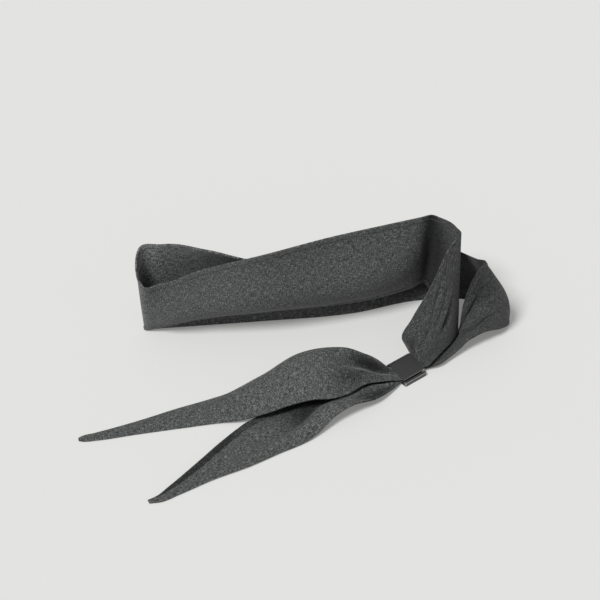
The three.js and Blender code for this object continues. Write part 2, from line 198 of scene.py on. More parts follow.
# %% The neck loop's sections, in millimetres
# Columns: head edge, foot edge, belly (how far the middle stands out), sway (an S across the
# section), gather (height of the pleats).
NECK_LOOP = {
    "slide, upper layer": (in_slide(0.2, 7.6, 6.9), in_slide(0.2, -8.5, 4.5), 0, 0, 0.3),
    "upper layer, deep": (in_slide(6, 7.6, 6.9), in_slide(6, -8.5, 4.5), 0, 0, 0.3),
    "upper mouth": (in_slide(12.4, 7.4, 6.9), in_slide(12.4, -8.2, 4.5), 0, 0, 0.3),
    "upper curl": ((1.6, 17.6, 13), (18.6, 1.2, 7), 0, 0, 0.6),
    "rising, low": ((-2.4, 17.5, 21.5), (23.5, 6.5, 8.5), -4.5, 0, 0.8),
    "rising, middle": ((4.8, 20, 40.7), (30.5, 15, 10.2), -6, 0, 0.6),
    "rising, high": ((19.5, 27.5, 67.4), (37.5, 24, 11.5), -4.5, 0, 0.4),
    "fold, front": ((35.5, 46, 94.4), (42, 33, 12), -2, 0, 0.2),
    "fold, crest": ((43, 54.5, 98.5), (43.7, 37, 13), 0, 0, 0),
    "fold, back": ((40, 62.5, 99), (39.5, 45, 16), 0, 0, 0),
    "valley, near": ((27.5, 75.5, 99), (24.5, 74, 24), -1, 0, 0),
    "valley, bottom": ((21.3, 79, 99), (17.8, 82.5, 26), 0, 0, 0),
    "valley, far": ((12.5, 76, 99), (7.5, 79, 24), 6, 0, 0),
    "front band, right": ((-18, 64, 100), (-20, 70, 21), 9, 3, 0),
    "front band, middle": ((-60, 51, 98.3), (-60, 61, 20), 10, 4, 0),
    "front band, left": ((-113, 33.2, 94.5), (-113, 53, 20), 10, 4, 0),
    "front band, far left": ((-162.5, 36.4, 76.6), (-162.5, 49, 16), 9, 3, 0),
    "front band, end": ((-196, 34.5, 64), (-199.5, 49.5, 6), 6, 1, 0),
    "left turn, front": ((-209.5, 31, 65), (-210, 51.5, 1.6), 2, 0, 0),
    "left turn, crest": ((-214, 37, 76), (-212, 53.5, 0.5), 0, 0, 0),
    "left turn, back": ((-212.5, 48, 87.5), (-207, 53.5, 0.5), 1, 0, 0),
    "back band, end": ((-194, 53.5, 88.5), (-192.5, 55, 0.5), 4, 0, 0),
    "back band, far left": ((-158, 48, 87), (-155.5, 59, 0.5), 9, 0, 0),
    "back band, left": ((-119.5, 39, 83.5), (-115.5, 63.5, 0.5), 10, 0, 0),
    "back band, middle": ((-37.5, 68, 78), (-38.5, 74, 0.5), 12, 0, 0),
    "back band, right": ((12.6, 86, 74), (17, 90.5, 0.5), 10, 0, 0),
    "back band, far right": ((45, 66.5, 70), (58, 90, 0.5), 8, 1, 0),
    "right turn, back": ((57, 54, 73), (79, 76, 0.5), 5, 2, 0),
    "right turn, crest": ((63.2, 47.5, 75.6), (87.4, 60.5, 0.5), 6.5, 1.2, 0),
    "right turn, front": ((59, 44.8, 71), (80.5, 47.2, 7.4), 7.5, 1.2, 0.3),
    "falling, high": ((53, 42, 60), (67, 35.9, 13.9), 6, 0, 0.6),
    "falling, middle": ((47.6, 38, 40), (56.5, 29.2, 13.4), 4, 0, 0.6),
    "falling, low": ((45.8, 44, 9.6), (45.7, 20.4, 8.4), 1, 0, 0.5),
    "lower bend": ((35.5, 30, 6.4), (37.4, 13.9, 4.9), 0.5, 0, 0.5),
    "lower neck": ((20, 18, 4.4), (27, 5, 3.8), 0, 0, 0.5),
    "lower mouth": (in_slide(12.2, 7.8, 3.1), in_slide(12.2, -8.5, 2), 0, 0, 0.3),
    "lower layer, deep": (in_slide(6, 7.8, 3.1), in_slide(6, -8.5, 2), 0, 0, 0.3),
    "slide, lower layer": (in_slide(0.2, 7.8, 3.1), in_slide(0.2, -8.5, 2), 0, 0, 0.3),
}
# Waves of the gathered cloth across the strip, and the wave's phase at the foot edge.
PLEATS = 2.5
PLEAT_START = 0.6
print(len(NECK_LOOP), "sections round the neck")

# %% Folds beside the slide
# Columns: section where the fold is highest, place across (0 foot, 1 head), slant (shift of the
# place over 100 mm), reach (half the length, mm), breadth (half the width, share of the strip's),
# height (mm, out to the outer side).
LOOP_FOLDS = {
    "lobe at the mouth": ("rising, low", 0.86, 0, 9, 0.12, -2),
    "furrow from the mouth": ("rising, low", 0.6, 1, 9, 0.09, 3.2),
    "ridge beside the furrow": ("rising, low", 0.4, 0.6, 12, 0.12, -1.6),
    "left pucker": ("rising, high", 0.6, 0.6, 12, 0.06, 2),
    "right pucker": ("rising, high", 0.42, 0.6, 10, 0.055, 1.5),
    "crease by the foot": ("rising, middle", 0.2, 0.2, 12, 0.07, 1.2),
    "shaded panel": ("falling, middle", 0.68, 0.3, 14, 0.1, -3),
    "ridge of the lower strand": ("falling, middle", 0.45, 0, 20, 0.14, 1.6),
    "crease of the lower strand": ("falling, low", 0.24, -0.3, 16, 0.08, -1.2),
}

# %% Finer folds, on the cloth alone
# The same columns. These folds are on the cloth here and not in the solids.
FINE_FOLDS = {
    "dimple at the mouth": ("rising, low", 0.68, 0, 5, 0.09, 2.4),
    "lip of the dimple": ("rising, low", 0.5, 0, 7, 0.07, -1.2),
    "first crease": ("rising, middle", 0.56, 0.9, 12, 0.05, 2.1),
    "second crease": ("rising, high", 0.4, 0.8, 10, 0.05, 2.2),
    "ridge between the creases": ("rising, high", 0.5, 0.8, 12, 0.05, -1.2),
    "upper pucker": ("rising, high", 0.78, 0.9, 9, 0.045, 2.3),
    "long crease of the lower strand": ("falling, middle", 0.62, -0.9, 22, 0.05, -2.8),
    "ridge below the long crease": ("falling, middle", 0.48, -0.9, 22, 0.06, 1.5),
    "short crease of the lower strand": ("falling, high", 0.3, -0.6, 14, 0.05, -1.8),
}
print(len(LOOP_FOLDS), "folds in the solids too and", len(FINE_FOLDS), "here alone")

# %% The tails' sections, in millimetres
# The first column is the middle line on the table. The others are lines along the tail, each
# (across from the middle line, above the table), from the near edge to the far edge.
UPPER_TAIL = np.array([
    # middle, near, crest, hollow, rim, far
    [(-0.2, -0.1), (-8.5, 4.4), (-5, 5.1), (-1, 5.7), (4.5, 6.8), (7.6, 6.9)],
    [(-8.6, -6.9), (-8.3, 4.4), (-6, 4.9), (-1, 5.4), (4.5, 7.2), (7.6, 6.9)],
    [(-14.5, -10.4), (-7.2, 7), (-4.2, 9.6), (3, 5.6), (3.6, 13.5), (9.5, 6.2)],
    [(-23.5, -12.6), (-9, 9.7), (-4.4, 13.4), (6.5, 6), (5.4, 21.4), (16, 6.5)],
    [(-34, -13.4), (-15.6, 13.6), (-4.5, 17.6), (7.5, 10.5), (7.4, 26), (20, 7)],
    [(-46, -13.8), (-27.5, 15.9), (-11, 22.5), (3, 19.5), (11.5, 28.2), (24, 8)],
    [(-60, -14.4), (-34.3, 17.4), (-15, 25), (1.5, 28.5), (15, 26.5), (27, 6)],
    [(-81, -17.4), (-33.2, 16.8), (-15, 23.6), (1.5, 26.5), (15.5, 23), (26, 4)],
    [(-105, -26), (-29.2, 13), (-13, 16.6), (1, 17.5), (13, 13), (21.5, 2)],
    [(-121, -33.5), (-25.6, 8.6), (-11, 11.4), (0.5, 12.5), (10.5, 9.2), (18, 1.3)],
    [(-137, -41), (-20.2, 4.6), (-9.5, 6.6), (-0.5, 7.6), (8.5, 5.6), (15, 1)],
    [(-150, -45.7), (-15, 2), (-7.4, 4.6), (-0.3, 5.4), (7.4, 4.2), (13.8, 1)],
    [(-177.5, -54.6), (-10.6, 1), (-5.6, 2.8), (0, 3.4), (6, 2.6), (11.6, 1)],
    [(-214.5, -66.4), (-6.3, 1), (-3.2, 1.7), (0, 2), (3.4, 1.7), (6.8, 1)],
    [(-243, -74.8), (-4.1, 1), (-2, 1.2), (0, 1.3), (2, 1.2), (3.9, 1)],
    [(-252.5, -77.2), (-2.7, 0.9), (-1.4, 1), (0, 1), (1.5, 1), (3, 0.9)],
    [(-255.5, -77.9), (-1.3, 0.9), (-0.6, 0.9), (0.1, 0.9), (0.8, 0.9), (1.6, 0.9)],
])
LOWER_TAIL = np.array([
    # middle, near, pocket, fold, channel, ridge, crease, rim
    [(-0.2, -0.1), (-8.4, 2.1), (-6.5, 2.2), (-4, 2.5), (-0.5, 2.3), (2.5, 2.5), (5, 2.8), (7.8, 3)],
    [(-8.6, -6.9), (-8.4, 2.1), (-7, 2.2), (-5, 2.5), (-1, 2.2), (2.5, 2.3), (5, 2.5), (7.8, 2.9)],
    [(-16, -13.3), (-10.6, 3.8), (-7.8, 2.3), (-4.6, 4.4), (-1, 1.8), (2, 1.8), (5, 2), (8.6, 2.4)],
    [(-32.5, -23.5), (-17, 8.4), (-11.5, 3.6), (-3.4, 9), (1.6, 2.6), (4.6, 2.2), (7.6, 2), (10.5, 2)],
    [(-51, -32), (-21, 13.1), (-15.6, 13), (-9.8, 12.2), (0.5, 3.2), (5, 2.4), (9.5, 2.1), (13.5, 2.8)],
    [(-69, -45.5), (-20.3, 11.2), (-13.8, 12.6), (-7, 12), (1.5, 3.6), (8, 3.8), (14.5, 2), (19, 2.6)],
    [(-88, -63), (-19.5, 1.7), (-15.6, 4.6), (-9, 7.4), (-2, 2.4), (7.5, 4.4), (18, 1.5), (22.6, 3)],
    [(-110, -77.5), (-18.6, 1), (-16.6, 2.8), (-12.3, 5), (-3.5, 2), (6.5, 3.8), (18.4, 1.3), (23.6, 2.6)],
    [(-132, -95.2), (-15.4, 1), (-13.8, 2.4), (-10.6, 4), (-2.5, 1.7), (5, 2.8), (13.8, 1), (16.5, 5.6)],
    [(-155.5, -114), (-9.4, 1), (-8.4, 1.8), (-6.3, 2.9), (-1, 1.4), (2.8, 2), (6.8, 1), (9.7, 5.4)],
    [(-178.5, -132.6), (-5.8, 1), (-5, 1.2), (-3.4, 1.9), (-0.8, 1.1), (0.9, 1.3), (2.8, 0.9), (4.4, 3.6)],
    [(-190, -141.2), (-4, 1), (-3.3, 1.1), (-2.1, 1.2), (-0.6, 1), (0.6, 1), (1.7, 0.9), (2.6, 1.8)],
    [(-197.5, -144.6), (-1.6, 0.9), (-1.1, 0.9), (-0.6, 0.9), (0, 0.9), (0.6, 0.9), (1.2, 0.9), (1.8, 1)],
])
print("sections of the upper tail: %d, of the lower: %d" % (len(UPPER_TAIL), len(LOWER_TAIL)))

# %% Middle surfaces
LOOP_ROWS, LOOP_COLUMNS = 521, 91
TAIL_ROWS, TAIL_COLUMNS = 221, 53


def fold_heights(folds, knots, s, t):
    """Sum of ridges: height exp(-(ds/reach)^2) exp(-((t - place - slant ds/100)/breadth)^2), with
    ds the distance along the strip from the fold's section."""
    names = list(NECK_LOOP)
    total = np.zeros((len(s), len(t)))
    for section, place, slant, reach, breadth, height in folds.values():
        past = s - knots[names.index(section)]
        place = place + slant * past / 100
        total += height * hump(past, 0, reach)[:, None] * hump(t, place[:, None], breadth)
    return total


def loop_surface(rows, columns):
    """Points P(s, t), s along the strip and t from the foot edge to the head edge:
    foot + t (head - foot) + n (belly sin(pi t) + sway sin(2 pi t)
    + gather sin(2 pi PLEATS t + PLEAT_START) + folds), with n square to the section and to the way
    the strip runs. Also gives s, in mm, and t."""
    head, foot = (np.array([row[k] for row in NECK_LOOP.values()], float) for k in (0, 1))
    stands = np.array([row[2:] for row in NECK_LOOP.values()], float)
    middles = (head + foot) / 2
    knots = distances(middles)
    s = np.linspace(0, knots[-1], rows)
    t = np.linspace(0, 1, columns)
    head, foot, stands = (smooth(knots, values, s) for values in (head, foot, stands))
    chord = head - foot
    outer = unit(np.cross(chord, np.gradient(smooth(knots, middles, s), s, axis=0)))
    waves = np.stack([np.sin(np.pi * t), np.sin(2 * np.pi * t),
                      np.sin(2 * np.pi * PLEATS * t + PLEAT_START)])
    stand = stands @ waves
    stand = stand + fold_heights(LOOP_FOLDS, knots, s, t) + fold_heights(FINE_FOLDS, knots, s, t)
    flat = foot[:, None] + chord[:, None] * t[None, :, None]
    return flat + outer[:, None] * stand[..., None], s, t


def tail_surface(table, rows, columns):
    """Points of a tail, P(s, t) = (centre(s) + side(s) a(s, t), h(s, t)). Each column of the table
    is a smooth curve along the tail, and a and h are smooth curves across the columns."""
    middles = table[:, 0]
    knots = distances(middles)
    s = np.linspace(0, knots[-1], rows)
    t = np.linspace(0, 1, columns)
    centre = smooth(knots, middles, s)
    heading = unit(np.gradient(centre, s, axis=0))
    side = np.stack([heading[:, 1], -heading[:, 0]], axis=1)
    lines = smooth(knots, table[:, 1:].reshape(len(table), -1), s).reshape(rows, -1, 2)
    line_knots = np.linspace(0, 1, lines.shape[1])
    marks = smooth(line_knots, lines.transpose(1, 0, 2).reshape(len(line_knots), -1), t)
    marks = marks.reshape(columns, rows, 2).transpose(1, 0, 2)
    ground = centre[:, None] + side[:, None] * marks[..., :1]
    return np.concatenate([ground, marks[..., 1:]], axis=2), s, t


loop_grid, loop_s, loop_t = loop_surface(LOOP_ROWS, LOOP_COLUMNS)
upper_grid, upper_s, upper_t = tail_surface(UPPER_TAIL, TAIL_ROWS, TAIL_COLUMNS)
lower_grid, lower_s, lower_t = tail_surface(LOWER_TAIL, TAIL_ROWS, TAIL_COLUMNS)
GRIDS = {"neck part": loop_grid, "upper tail": upper_grid, "lower tail": lower_grid}
for name, grid in GRIDS.items():
    print(name, "%.0f mm along its middle" % distances(grid[:, grid.shape[1] // 2])[-1])

# %% [markdown]
# ## From a surface to a wall of cloth
# Cloth has two faces and an edge. The wall is the middle surface moved half a thickness to each
# side, closed by a strip round the border. Along the two long edges the cloth is turned in and
# sewn: there the wall is 0.55 mm thicker over 4.5 mm, with a small step where the hem ends.

# %% Measures of a surface
def normals_of(grid):
    """Unit vectors square to a grid surface: (change along rows) x (change along columns)."""
    return unit(np.cross(np.gradient(grid, axis=0), np.gradient(grid, axis=1)))


def across_of(grid):
    """Distance of each point from the first edge, along its row."""
    steps = np.linalg.norm(np.diff(grid, axis=1), axis=2)
    return np.concatenate([np.zeros((len(grid), 1)), np.cumsum(steps, axis=1)], axis=1)


def widths_of(grid):
    """Length of the cloth across, at each row, along its true line."""
    return np.linalg.norm(np.diff(grid, axis=1), axis=2).sum(axis=1)


def flat_uv(s, grid, flat_width):
    """Flat cloth coordinates in metres: along the strip, and across it from the middle. Where
    flat_width is None the cloth was cut to the width that the grid has."""
    across = across_of(grid)
    width = across[:, -1:]
    middle_out = across - width / 2
    if flat_width is not None:
        middle_out = middle_out / width * flat_width
    along = np.repeat(s[:, None], grid.shape[1], axis=1)
    return np.stack([along, middle_out], axis=2) * MM


for name, grid in GRIDS.items():
    length, widths = distances(grid[:, grid.shape[1] // 2])[-1], widths_of(grid)
    print(name, "widest %.0f mm, cloth %.4f m2" % (widths.max(), widths.mean() * length * MM * MM))

# %% Cloth walls
STRIP_WIDTH = 90.0
CLOTH_THICK = 0.8 * MM
HEM_WIDTH = 4.5
HEM_RISE = 0.55 * MM
HEM_STEP = 0.4
HEM_FADE_WIDTH = 34.0
FLOOR_CLEARANCE = 0.05 * MM


def wall_vertices(grid, hem_side):
    """Both skins of a wall, in metres: P +- n (thickness/2 + hem), with the hem on one skin only,
    and nothing lower than just above the table."""
    points, normals, across = grid * MM, normals_of(grid), across_of(grid)
    width = across[:, -1:]
    edge = np.minimum(across, width - across)
    spread = step_up(width, HEM_FADE_WIDTH / 2, HEM_FADE_WIDTH)
    hem = HEM_RISE * spread * (1 - step_up(edge, HEM_WIDTH - HEM_STEP, HEM_WIDTH + HEM_STEP))
    skins = []
    for side in (1, -1):
        offset = CLOTH_THICK / 2 + (hem if side == hem_side else 0 * hem)
        skins.append(points + normals * (side * offset)[..., None])
    vertices = np.concatenate([skin.reshape(-1, 3) for skin in skins])
    vertices[:, 2] = np.maximum(vertices[:, 2], FLOOR_CLEARANCE)
    return vertices


def wall_quads(rows, columns):
    """Faces of the first skin, of the second, and of the strip that joins them at the border."""
    index = np.arange(rows * columns).reshape(rows, columns)
    a, b, c, d = index[:-1, :-1], index[1:, :-1], index[1:, 1:], index[:-1, 1:]
    border = np.concatenate([index[:, 0], index[-1, 1:], index[-2::-1, -1], index[0, -2:0:-1]])
    after, back = np.roll(border, -1), index.size
    return np.concatenate([np.stack([a, b, c, d], -1).reshape(-1, 4),
                           np.stack([a, d, c, b], -1).reshape(-1, 4) + back,
                           np.stack([after, border, border + back, after + back], -1)])


def new_piece(name, mesh):
    """An object for a mesh, in the scene."""
    piece = bpy.data.objects.new(name, mesh)
    scene.collection.objects.link(piece)
    return piece


def cloth_piece(name, grid, hem_side, uv, painted_shade_and_light):
    """A closed wall round a middle surface in millimetres. hem_side is the side on which the hem
    stands up: +1 along the surface's normal, -1 against it. The last argument holds, for the two
    skins, the painted shade: the share of its colour's brightness that the cloth loses at each point
    (below 0, a gain of painted light)."""
    quads = wall_quads(*grid.shape[:2])
    mesh = bpy.data.meshes.new(name)
    mesh.from_pydata(wall_vertices(grid, hem_side), [], quads)
    corner_points = np.empty(len(mesh.loops), int)
    mesh.loops.foreach_get("vertex_index", corner_points)
    both_skins = np.tile(uv.reshape(-1, 2), (2, 1))
    mesh.uv_layers.new(name="cloth").data.foreach_set("uv", both_skins[corner_points].ravel())
    # Painted shade of both skins, one value a point, kept on the mesh; below 0 it is painted light.
    shade = np.ascontiguousarray(painted_shade_and_light, dtype=np.float32).ravel()
    mesh.attributes.new("painted_shade_and_light", "FLOAT", "POINT").data.foreach_set("value", shade)
    mesh.shade_smooth()
    print(name, "triangles:", 2 * len(quads))
    return new_piece(name, mesh)


# %% [markdown]
# ## Painted shade and painted light
# The lamp and sky alone leave some hollows lighter than the photograph shows them, and the left
# turn darker. A number at each point scales the cloth's own colour to come closer. It is paint:
# it is right for this light and camera, and it stays on the cloth under any other.

# %% How much is taken away
# Shares of the brightness taken away as painted shade. The two gains add brightness instead,
# as painted light.
CROWDED_LOSS, VALLEY_LOSS, PANEL_LOSS, LOW_LOSS = 0.38, 0.84, 0.5, 0.22
INNER_LOSS, BEHIND_LOSS, LEFT_GAIN, UPPER_GAIN = 0.66, 0.6, 0.7, 0.35
HOLLOW_LOSS, SLOPE_LOSS = 0.88, 0.5
COVERED_LOSS, POCKET_LOSS, RIM_LOSS, CREASE_LOSS = 0.75, 0.72, 0.45, 0.7

# %% Where it is taken
# Names with OVER hold shares of the width, from the foot or near edge. The others are millimetres
# along the cloth. A range is where a smooth step rises or falls, and a hump is a middle and a reach.
CROWDED_RANGE = (105.0, 150.0)
VALLEY_REACH, VALLEY_REACH_ADDED_AT_FOOT = 8.0, 52.0
PANEL_REACH, PANEL_OVER_RANGE = 16.0, (0.5, 0.75)
LOW_OVER_RANGE = (0.12, 0.36)
BEHIND_OVER_RISE, BEHIND_OVER_FALL = (0.04, 0.2), (0.4, 0.6)
LEFT_REACH = 20
UPPER_REACH, UPPER_OVER_RANGE = 50, (0.5, 0.7)
HOLLOW_HUMP, HOLLOW_OVER_HUMP = (31, 17), (0.61, 0.11)
SLOPE_HUMP, SLOPE_OVER_HUMP = (46, 19), (0.2, 0.15)
COVERED_HUMP, COVERED_OVER_RANGE = (92, 24), (0.28, 0.5)
POCKET_HUMP, POCKET_OVER_RANGE = (33, 17), (0.18, 0.32)
OUTER_RANGE = (95, 130)
RIM_OVER_RANGE, CREASE_OVER_HUMP = (0.85, 0.9), (0.857, 0.025)


def section_at(name):
    """Distance along the neck part of a named section, in mm."""
    heads, feet = (np.array([row[k] for row in NECK_LOOP.values()], float) for k in (0, 1))
    return distances((heads + feet) / 2)[list(NECK_LOOP).index(name)]


def past_sections(s, first, second):
    """0 before the first named section, 1 past the second, and a smooth rise between."""
    return step_up(s, section_at(first), section_at(second))


def lost(*losses):
    """What several losses take together: 1 - product of (1 - loss)."""
    kept = 1
    for loss in losses:
        kept = kept * (1 - loss)
    return 1 - kept


# %% Painted shade and painted light of the neck part
def outer_losses(s, t):
    """Painted shade on the outer skin: the valley between the fold and the front band, the upper
    panel of the falling strand and the front band's low edge."""
    past = s - section_at("valley, bottom")
    reach = np.where(past > 0, VALLEY_REACH, VALLEY_REACH + VALLEY_REACH_ADDED_AT_FOOT * (1 - t))
    valley = VALLEY_LOSS * hump(past, 0, reach)
    panel = PANEL_LOSS * hump(s, section_at("falling, high"), PANEL_REACH)
    panel = panel * step_up(t, *PANEL_OVER_RANGE)
    front = past_sections(s, "valley, far", "front band, right")
    front = front * (1 - past_sections(s, "front band, far left", "left turn, front"))
    return valley, panel, LOW_LOSS * front * (1 - step_up(t, *LOW_OVER_RANGE))


def inner_losses(s, t):
    """Painted shade on the inner skin at the closed right end and on the strip behind the front
    band, and the two gains of painted light at the left turn.
    """
    closed = INNER_LOSS * past_sections(s, "back band, middle", "right turn, back")
    behind = BEHIND_LOSS * past_sections(s, "back band, end", "back band, far left")
    behind = behind * (1 - past_sections(s, "back band, right", "right turn, back"))
    behind = behind * step_up(t, *BEHIND_OVER_RISE) * (1 - step_up(t, *BEHIND_OVER_FALL))
    left = LEFT_GAIN * hump(s, section_at("left turn, back"), LEFT_REACH)
    upper = UPPER_GAIN * hump(s, section_at("back band, far left"), UPPER_REACH)
    return closed, behind, -left, -upper * step_up(t, *UPPER_OVER_RANGE)


def neck_painted_shade_and_light():
    """Both skins are painted darker beside the slide, and each has its own places besides."""
    s, t = loop_s[:, None], loop_t[None, :]
    from_slide = np.minimum(s, loop_s[-1] - s)
    crowded = CROWDED_LOSS * (1 - step_up(from_slide, *CROWDED_RANGE)) + 0 * t
    return np.stack([lost(crowded, *inner_losses(s, t)), lost(crowded, *outer_losses(s, t))])


neck_uv = flat_uv(loop_s, loop_grid, STRIP_WIDTH)
neck_cloth = cloth_piece("neck_cloth", loop_grid, -1, neck_uv, neck_painted_shade_and_light())


# %% Painted shade of the tails
def upper_painted_shade():
    """Painted shade in the hollow beside the slide, up to the rim, and on the slope below the crest,
    on both skins.
    """
    s, t = upper_s[:, None], upper_t[None, :]
    hollow = HOLLOW_LOSS * hump(s, *HOLLOW_HUMP) * hump(t, *HOLLOW_OVER_HUMP)
    slope = SLOPE_LOSS * hump(s, *SLOPE_HUMP) * hump(t, *SLOPE_OVER_HUMP)
    return np.stack([lost(hollow, slope)] * 2)


def lower_painted_shade():
    """Painted shade on the part that the upper tail covers, in the pocket below the near fold, on the
    standing rim, and in the crease at the rim's foot, on both skins."""
    s, t = lower_s[:, None], lower_t[None, :]
    covered = COVERED_LOSS * hump(s, *COVERED_HUMP) * step_up(t, *COVERED_OVER_RANGE)
    pocket = POCKET_LOSS * hump(s, *POCKET_HUMP) * (1 - step_up(t, *POCKET_OVER_RANGE))
    outer_part = step_up(s, *OUTER_RANGE)
    rim = RIM_LOSS * outer_part * step_up(t, *RIM_OVER_RANGE)
    crease = CREASE_LOSS * outer_part * hump(t, *CREASE_OVER_HUMP)
    return np.stack([lost(covered, pocket, rim, crease)] * 2)


upper_uv, lower_uv = flat_uv(upper_s, upper_grid, None), flat_uv(lower_s, lower_grid, None)
upper_cloth = cloth_piece("upper_tail_cloth", upper_grid, -1, upper_uv, upper_painted_shade())
lower_cloth = cloth_piece("lower_tail_cloth", lower_grid, 1, lower_uv, lower_painted_shade())

# %% [markdown]
# ## Stitches along the hems
# A sewing thread runs along each hem, close to where the turned edge ends, and shows on both faces
# as short raised dashes with a gap between them. Each dash is a small closed block on the skin.

# %% Stitches
STITCH_PITCH = 3.4
STITCH_LENGTH = 2.3
STITCH_WIDTH = 0.42
STITCH_RISE = 0.16
STITCH_SINK = 0.1
STITCH_INSET = 3.6
STITCH_NARROWS_TO = 0.6
BLOCK_FACES = np.array([[0, 1, 2, 3], [4, 7, 6, 5], [0, 4, 5, 1],
                        [1, 5, 6, 2], [2, 6, 7, 3], [3, 7, 4, 0]])


def on_cloth(grid, row, inset):
    """Points at fractional rows and at a distance in mm from the first edge, by linear steps."""
    low = np.clip(row.astype(int), 0, len(grid) - 2)
    f = (row - low)[:, None, None]
    line = grid[low] * (1 - f) + grid[low + 1] * f
    across = across_of(line)
    k = np.clip((across < inset).sum(axis=1) - 1, 0, line.shape[1] - 2)
    pick = np.arange(len(row))
    g = (inset - across[pick, k]) / (across[pick, k + 1] - across[pick, k])
    return line[pick, k] * (1 - g[:, None]) + line[pick, k + 1] * g[:, None]


def stitch_blocks(grid, s, hem_side):
    """For each hem and each skin: the corners of its dashes, eight each, and the skin's side."""
    wide = np.nonzero(widths_of(grid) > HEM_FADE_WIDTH)[0]
    spacing = s[1] - s[0]
    starts = np.arange(wide[0] * spacing, wide[-1] * spacing - STITCH_PITCH, STITCH_PITCH) / spacing
    ends = starts + STITCH_LENGTH / spacing
    normals = normals_of(grid)
    for sheet, outward in ((grid, normals), (grid[:, ::-1], normals[:, ::-1])):
        first, last = on_cloth(sheet, starts, STITCH_INSET), on_cloth(sheet, ends, STITCH_INSET)
        column = int(np.abs(across_of(sheet)[wide[len(wide) // 2]] - STITCH_INSET).argmin())
        normal = unit(outward[np.clip(starts.astype(int), 0, len(grid) - 1), column])
        sideways = unit(np.cross(normal, last - first)) * STITCH_WIDTH / 2
        ring = ((first, -1), (first, 1), (last, 1), (last, -1))
        for side in (1, -1):
            skin = (CLOTH_THICK + 2 * (HEM_RISE if side == hem_side else 0)) / 2 / MM - STITCH_SINK
            levels = ((1, normal * side * skin),
                      (STITCH_NARROWS_TO, normal * side * (skin + STITCH_SINK + STITCH_RISE)))
            yield np.stack([point + sideways * turn * share + lift
                            for share, lift in levels for point, turn in ring], axis=1), side


def stitch_piece(name, grid, s, hem_side):
    """One mesh of small closed blocks, a dash each, along both hems and on both skins."""
    vertices, faces, count = [], [], 0
    for block, side in stitch_blocks(grid, s, hem_side):
        turned = BLOCK_FACES if side == -1 else BLOCK_FACES[:, ::-1]
        firsts = 8 * (count + np.arange(len(block)))
        faces.append((turned[None] + firsts[:, None, None]).reshape(-1, 4))
        vertices.append(block.reshape(-1, 3) * MM)
        count += len(block)
    vertices = np.concatenate(vertices)
    vertices[:, 2] = np.maximum(vertices[:, 2], FLOOR_CLEARANCE)
    mesh = bpy.data.meshes.new(name)
    mesh.from_pydata(vertices, [], np.concatenate(faces))
    print(name, "stitches:", count)
    return new_piece(name, mesh)


neck_stitches = stitch_piece("neck_hem_stitches", loop_grid, loop_s, -1)
upper_stitches = stitch_piece("upper_tail_hem_stitches", upper_grid, upper_s, -1)
lower_stitches = stitch_piece("lower_tail_hem_stitches", lower_grid, lower_s, 1)

# %% [markdown]
# ## The cloth's finish
# The cloth is a plain weave of melange yarns: each yarn is spun from dark and light fibres, so it
# changes shade every few millimetres along its length. Two noises, one stretched along the strip
# for the warp and one across it for the weft, give that. A second, longer pair stands for slubs,
# with yarns that run lighter or darker for a while. A product of two sines picks which yarn lies on
# top and also gives the weave its relief. All of it reads the cloth's own flat coordinates, so the
# yarns follow every fold. The painted shade scales the result.

# %% Grain of the cloth
YARN_WIDTH = 0.5 * MM
WEAVE_PITCH = 0.62 * MM
FIBRE_LENGTH = 2.8 * MM
SLUB_LENGTH = 5.5 * MM
SLUB_WIDTH = 0.5 * MM
FLECK = 0.7 * MM
DARK_FIBRE = (0.022, 0.023, 0.023, 1.0)
MID_FIBRE = (0.066, 0.069, 0.068, 1.0)
LIGHT_FIBRE = (0.220, 0.229, 0.226, 1.0)
RAMP_ENDS = (0.35, 0.65)
# The shade is a sum of three grains, moved down so that its middle is about 0.5.
YARN_SHARE, SLUB_SHARE, FLECK_SHARE, SHADE_DOWN = 0.75, 0.34, 0.12, 0.275
OVER_CONTRAST = 0.9
RELIEF_OVER, RELIEF_FLECK, RELIEF_STRENGTH, RELIEF_DEPTH = 0.5, 0.8, 0.5, 0.18 * MM
CLOTH_ROUGHNESS, CLOTH_SHINE = 0.92, 0.15
SHEEN, SHEEN_ROUGHNESS = 0.15, 0.45
print("threads to the centimetre: %.0f" % (0.01 / WEAVE_PITCH))


# %% Small helpers for nodes
def node_math(tree, operation, *values):
    """A math node on numbers and sockets. Gives its output."""
    node = tree.nodes.new("ShaderNodeMath")
    node.operation = operation
    for slot, value in enumerate(values):
        if isinstance(value, float):
            node.inputs[slot].default_value = value
        else:
            tree.links.new(value, node.inputs[slot])
    return node.outputs[0]


def node_noise(tree, vector, along, across, shift, detail=1.0):
    """Noise with grains of the two given sizes in metres, read at a place of its own."""
    size = tree.nodes.new("ShaderNodeMapping")
    size.inputs["Scale"].default_value = (1 / along, 1 / across, 1.0)
    size.inputs["Location"].default_value = (shift, shift, 0.0)
    tree.links.new(vector, size.inputs["Vector"])
    noise = tree.nodes.new("ShaderNodeTexNoise")
    noise.inputs["Scale"].default_value = 1.0
    noise.inputs["Detail"].default_value = detail
    tree.links.new(size.outputs["Vector"], noise.inputs["Vector"])
    return noise.outputs["Fac"]


def node_ramp(tree, value, ends, colours):
    """A colour ramp from the first colour to the last, with a third halfway if one is given."""
    ramp = tree.nodes.new("ShaderNodeValToRGB")
    for element, position, colour in zip(ramp.color_ramp.elements, ends, (colours[0], colours[-1])):
        element.position = position
        element.color = colour
    if len(colours) == 3:
        ramp.color_ramp.elements.new(0.5).color = colours[1]
    tree.links.new(value, ramp.inputs["Fac"])
    return ramp.outputs["Color"]


